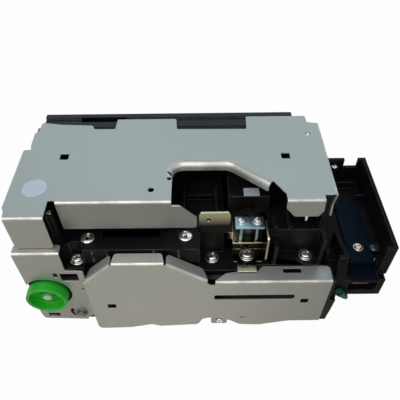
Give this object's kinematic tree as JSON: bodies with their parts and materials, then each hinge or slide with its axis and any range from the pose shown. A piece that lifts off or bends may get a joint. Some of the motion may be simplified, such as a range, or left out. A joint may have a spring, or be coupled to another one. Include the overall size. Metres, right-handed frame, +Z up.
{
  "type": "motorised card reader",
  "caption": "Motorised card reader for a self-service terminal: plated covers over a black frame, a card mouth at one end, a green hand knob and an open solenoid.",
  "frame": {"origin": "under the middle of the reader, on the surface that it stands on", "axes": "+X along the card path towards the mouth, +Y from the drive side to the back, +Z up"},
  "size_m": [0.2166, 0.0974, 0.1065],
  "materials": {
    "zinc": "bright zinc-plated sheet",
    "yellow_zinc": "yellow chromated zinc plate",
    "steel": "bright nickel-plated steel",
    "brass": "plain bronze and brass",
    "black_plastic": "moulded black, fine texture",
    "grey_plastic": "moulded dark grey",
    "green_plastic": "moulded green, satin",
    "white_plastic": "natural acetal",
    "rubber": "matt black rubber",
    "board": "dark solder mask",
    "copper": "copper-coloured plating"
  },
  "bodies": {
    "chassis": {"base_plate": "zinc", "top_cover": "zinc", "knob_plate": "zinc", "drive_guard": "zinc", "head_bracket": "zinc", "solenoid_yoke": "yellow_zinc", "motor": "steel", "pinch_spring": "steel", "solenoid_top_plate": "steel", "solenoid_screw_1": "steel", "solenoid_screw_2": "steel", "yoke_screw": "steel", "ledge_screw_1": "steel", "ledge_screw_2": "steel", "ledge_screw_3": "steel", "ledge_screw_4": "steel", "ledge_screw_5": "steel", "plate_screw": "steel", "front_bearing_rail": "brass", "rear_bearing_rail": "brass", "lower_frame": "black_plastic", "upper_frame": "black_plastic", "lower_guide": "black_plastic", "upper_guide": "black_plastic", "rear_cover": "black_plastic", "mouth_frame": "black_plastic", "solenoid_coil": "black_plastic", "contact_housing": "black_plastic", "board_connectors": "white_plastic", "drive_belt": "rubber", "main_board": "board", "mouth_board": "board", "mouth_screw_1": "copper", "mouth_screw_2": "copper"},
    "rear_axle": {"rear_shaft": "white_plastic", "rear_rollers": "rubber", "rear_pulley": "grey_plastic", "hand_knob": "green_plastic"},
    "middle_axle": {"middle_shaft": "steel", "middle_rollers": "rubber", "middle_pulley": "grey_plastic", "drive_gear": "white_plastic"},
    "front_axle": {"front_shaft": "steel", "front_rollers": "rubber", "front_pulley": "grey_plastic"},
    "motor_rotor": {"motor_pinion": "brass"},
    "contact_unit": {"contact_plunger": "steel", "contact_carriage": "grey_plastic", "chip_contacts": "brass"},
    "head": {"magnetic_head": "steel"},
    "shutter": {"shutter_gate": "steel"},
    "lever": {"release_lever": "green_plastic"},
    "sensor": {"card_sensor_lever": "grey_plastic"},
    "rear_carrier": {"rear_pinch_carrier": "grey_plastic"},
    "rear_pinch": {"rear_pinch_roller": "steel"},
    "middle_carrier": {"middle_pinch_carrier": "grey_plastic"},
    "middle_pinch": {"middle_pinch_roller": "steel"},
    "front_carrier": {"front_pinch_carrier": "grey_plastic"},
    "front_pinch": {"front_pinch_roller": "steel"}
  },
  "joints": [
    {"name": "rear_axle_turn", "type": "hinge", "parent": "chassis", "child": "rear_axle", "pos_m": [-0.0961, 0.0025, 0.0423], "axis": [0, 1, 0], "continuous": true},
    {"name": "middle_axle_turn", "type": "hinge", "parent": "chassis", "child": "middle_axle", "pos_m": [-0.024, 0.0025, 0.0423], "axis": [0, 1, 0], "continuous": true},
    {"name": "front_axle_turn", "type": "hinge", "parent": "chassis", "child": "front_axle", "pos_m": [0.048, 0.0025, 0.0423], "axis": [0, 1, 0], "continuous": true},
    {"name": "motor_turn", "type": "hinge", "parent": "chassis", "child": "motor_rotor", "pos_m": [-0.005, -0.034, 0.0259], "axis": [0, 1, 0], "continuous": true},
    {"name": "rear_pinch_lift", "type": "slide", "parent": "chassis", "child": "rear_carrier", "axis": [0, 0, 1], "range_m": [0, 0.001], "stiffness_N_per_m": 1500, "springref_m": -0.001},
    {"name": "rear_pinch_turn", "type": "hinge", "parent": "rear_carrier", "child": "rear_pinch", "pos_m": [-0.0961, 0.0025, 0.0531], "axis": [0, 1, 0], "continuous": true},
    {"name": "middle_pinch_lift", "type": "slide", "parent": "chassis", "child": "middle_carrier", "axis": [0, 0, 1], "range_m": [0, 0.001], "stiffness_N_per_m": 1500, "springref_m": -0.001},
    {"name": "middle_pinch_turn", "type": "hinge", "parent": "middle_carrier", "child": "middle_pinch", "pos_m": [-0.024, 0.0025, 0.0531], "axis": [0, 1, 0], "continuous": true},
    {"name": "front_pinch_lift", "type": "slide", "parent": "chassis", "child": "front_carrier", "axis": [0, 0, 1], "range_m": [0, 0.001], "stiffness_N_per_m": 1500, "springref_m": -0.001},
    {"name": "front_pinch_turn", "type": "hinge", "parent": "front_carrier", "child": "front_pinch", "pos_m": [0.048, 0.0025, 0.0531], "axis": [0, 1, 0], "continuous": true},
    {"name": "contact_press", "type": "slide", "parent": "chassis", "child": "contact_unit", "axis": [0, 0, -1], "range_m": [0, 0.0026], "stiffness_N_per_m": 400, "springref_m": -0.001},
    {"name": "head_press", "type": "slide", "parent": "chassis", "child": "head", "axis": [0, 0, -1], "range_m": [0, 0.0008], "stiffness_N_per_m": 1500, "springref_m": -0.0006},
    {"name": "shutter_rise", "type": "slide", "parent": "chassis", "child": "shutter", "axis": [0, 0, 1], "range_m": [0, 0.006]},
    {"name": "release_lever_turn", "type": "hinge", "parent": "chassis", "child": "lever", "pos_m": [0.08, -0.0427, 0.0395], "axis": [0, -1, 0], "range_deg": [0, 35]},
    {"name": "sensor_swing", "type": "hinge", "parent": "chassis", "child": "sensor", "pos_m": [0.0805, 0.0251, 0.0605], "axis": [0, 1, 0], "range_deg": [0, 25], "stiffness_Nm_per_rad": 0.002, "springref_deg": -17.19}
  ],
  "couplings": [
    {"joint": "middle_axle_turn", "follows": "rear_axle_turn", "ratio": 1},
    {"joint": "front_axle_turn", "follows": "rear_axle_turn", "ratio": 1},
    {"joint": "motor_turn", "follows": "rear_axle_turn", "ratio": -2.5714},
    {"joint": "rear_pinch_turn", "follows": "rear_axle_turn", "ratio": -1.3333},
    {"joint": "middle_pinch_turn", "follows": "rear_axle_turn", "ratio": -1.3333},
    {"joint": "front_pinch_turn", "follows": "rear_axle_turn", "ratio": -1.3333}
  ]
}
